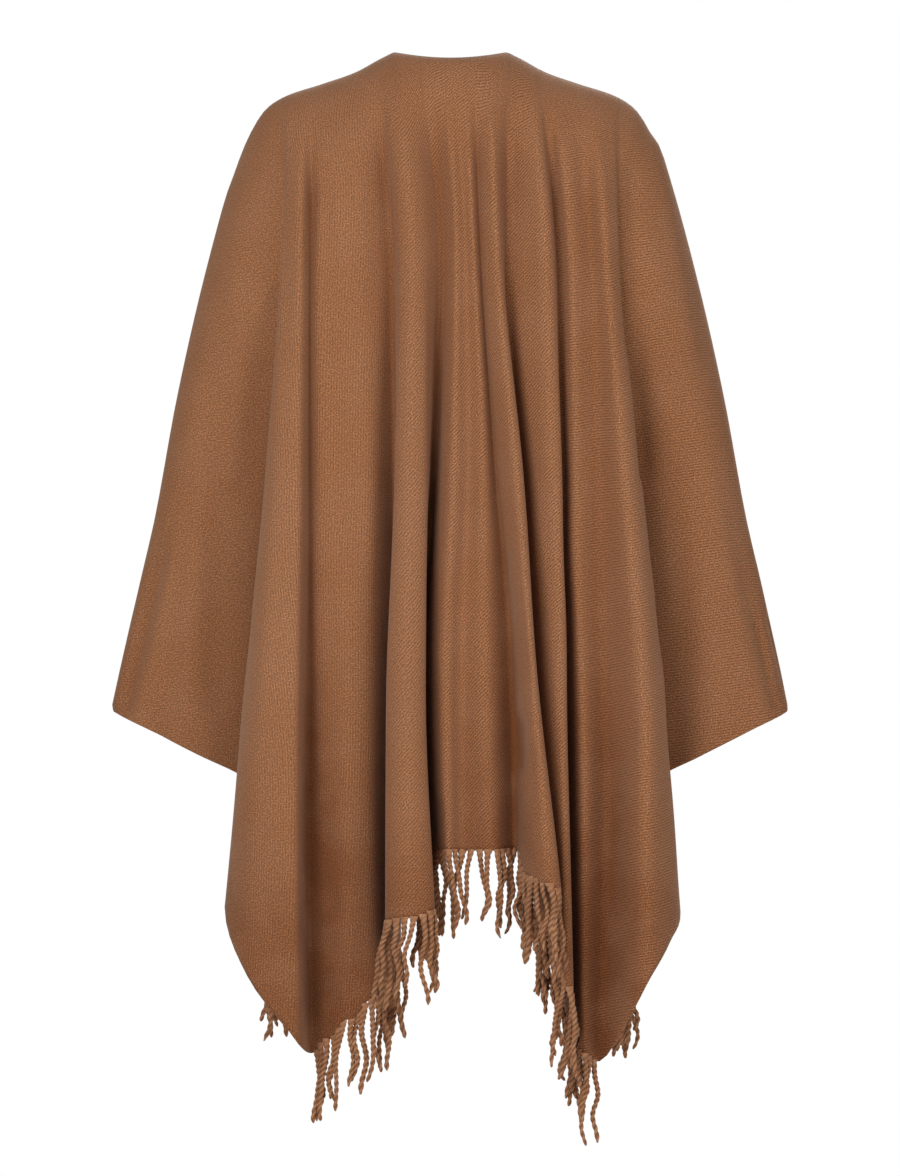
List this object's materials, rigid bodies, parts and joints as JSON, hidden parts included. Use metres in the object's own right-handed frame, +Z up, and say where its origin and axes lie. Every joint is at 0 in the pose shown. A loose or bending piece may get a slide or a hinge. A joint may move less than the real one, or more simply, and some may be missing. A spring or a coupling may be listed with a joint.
{
  "type": "fringed poncho",
  "caption": "Open-front poncho of brushed twill, hung from the shoulders and arms in deep folds, with twisted fringe along its hems.",
  "frame": {"origin": "at the neck, level with the highest points of the neck edge and on the shoulder line, where the wearer holds it up", "axes": "+Z up; the back faces -Y and the open front +Y; +X to the right seen from behind, along the shoulders"},
  "size_m": [0.678, 0.4177, 1.0961],
  "materials": {
    "brushed_twill": "soft brushed nap over a fine twill",
    "twisted_yarn": "soft twisted yarn"
  },
  "bodies": {
    "root": {"Back_Panel": "brushed_twill", "Front_Panel_Left": "brushed_twill", "Front_Panel_Right": "brushed_twill", "Back_Fringe": "twisted_yarn", "Front_Fringe_Left": "twisted_yarn", "Front_Fringe_Right": "twisted_yarn"}
  },
  "joints": []
}
